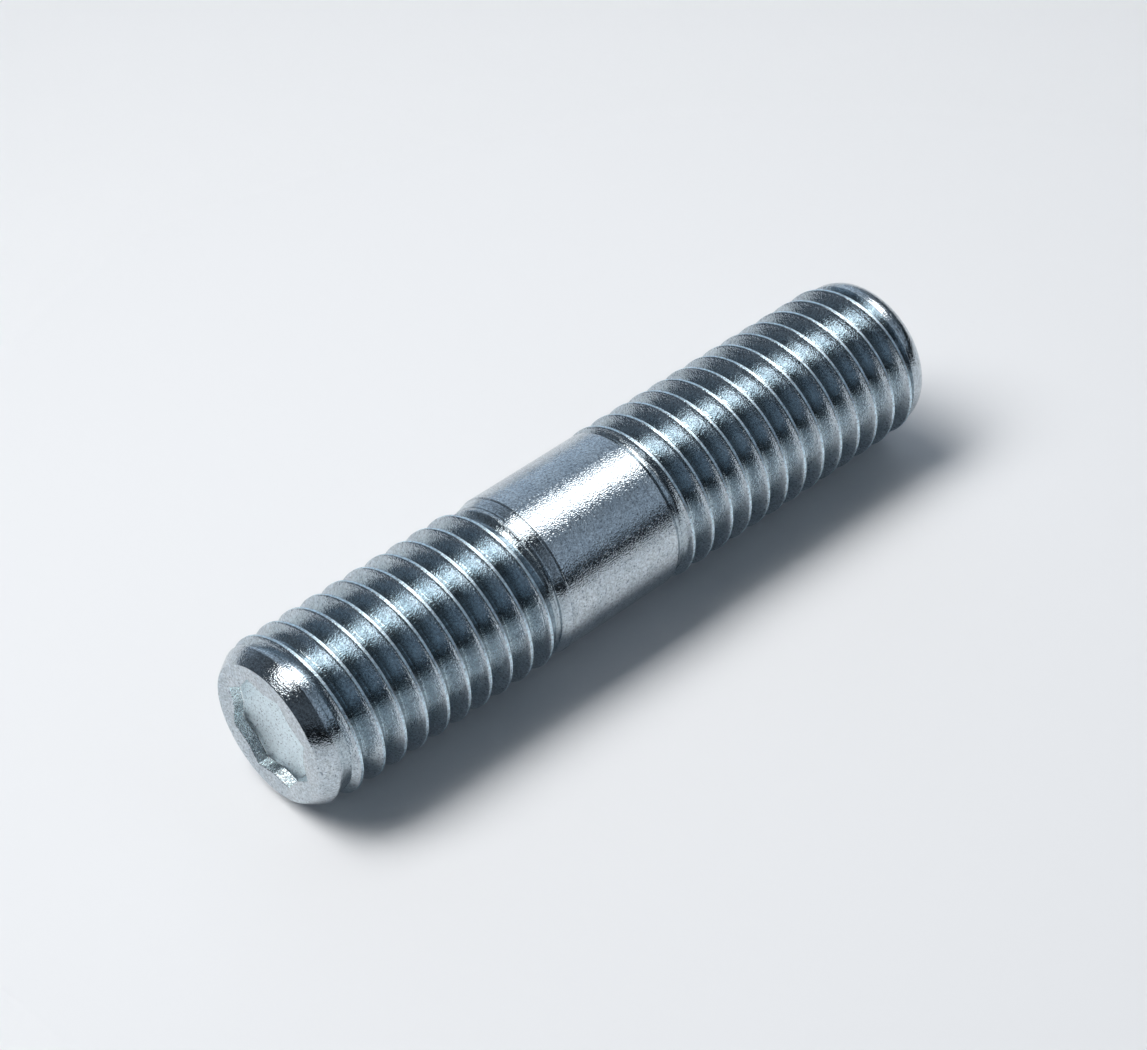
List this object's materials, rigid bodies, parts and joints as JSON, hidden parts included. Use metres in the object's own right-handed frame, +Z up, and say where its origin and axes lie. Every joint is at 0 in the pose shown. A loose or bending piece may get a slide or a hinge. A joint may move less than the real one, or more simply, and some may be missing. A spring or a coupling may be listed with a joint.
{
  "type": "exhaust manifold stud",
  "caption": "Headless double-ended steel stud with a plain shank between right-hand threads and a shallow star drive recess in one end, for clamping an exhaust manifold to a cylinder head.",
  "frame": {"origin": "under the middle of the stud's length, on the surface it lies on", "axes": "+X along the stud from the end with the drive recess to the rounded end, +Z up from the surface it lies on, +Y across"},
  "size_m": [0.0466, 0.01, 0.0099],
  "materials": {
    "zinc_plated_steel": "bright blue-white zinc plating on rolled and turned steel"
  },
  "bodies": {
    "root": {"stud": "zinc_plated_steel"}
  },
  "joints": []
}
